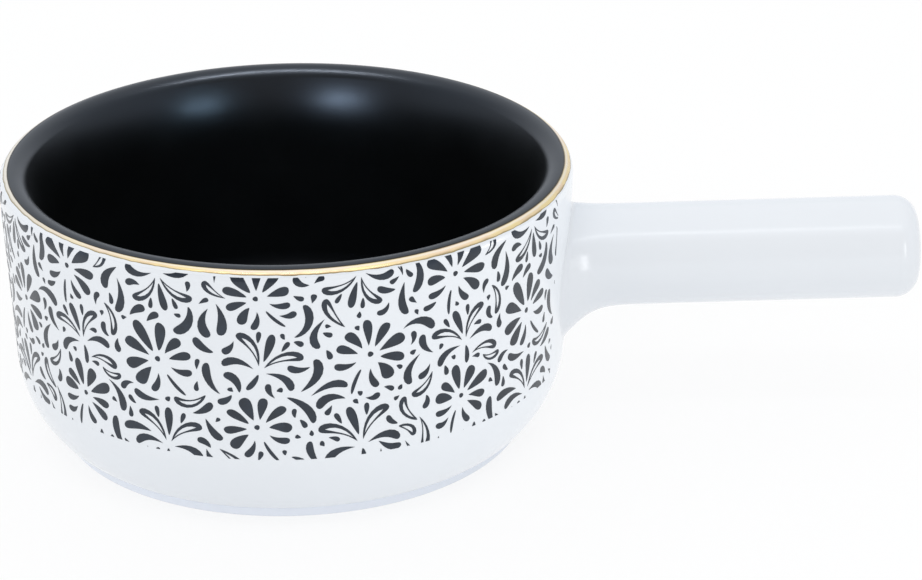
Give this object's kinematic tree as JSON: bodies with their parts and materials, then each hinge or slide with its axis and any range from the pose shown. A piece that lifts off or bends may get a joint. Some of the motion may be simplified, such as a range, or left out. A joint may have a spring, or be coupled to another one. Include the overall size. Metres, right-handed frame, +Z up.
{
  "type": "fondue pot",
  "caption": "Round stoneware fondue pot with a satin black inside, a gold line at the lip, a dark floral printed band and a straight hollow side handle; stands flat on a stove or burner.",
  "frame": {"origin": "on the bowl's axis, at the flat face of the foot that the pot stands on", "axes": "+Z up along the bowl's axis, +X from the bowl towards the handle, +Y to the left of the handle seen from above"},
  "size_m": [0.323, 0.2006, 0.0977],
  "materials": {
    "white_glaze": "smooth white glaze",
    "bare_clay": "ground, unglazed",
    "slip": "fired slip",
    "black_glaze": "satin black glaze",
    "gold_lustre": "fired gold lustre",
    "transfer_ink": "fired transfer print"
  },
  "bodies": {
    "root": {"bowl_body": "white_glaze", "foot": "bare_clay", "handle": "white_glaze", "luting_seam": "slip", "black_lining": "black_glaze", "gold_line": "gold_lustre", "printed_band": "transfer_ink"}
  },
  "joints": []
}
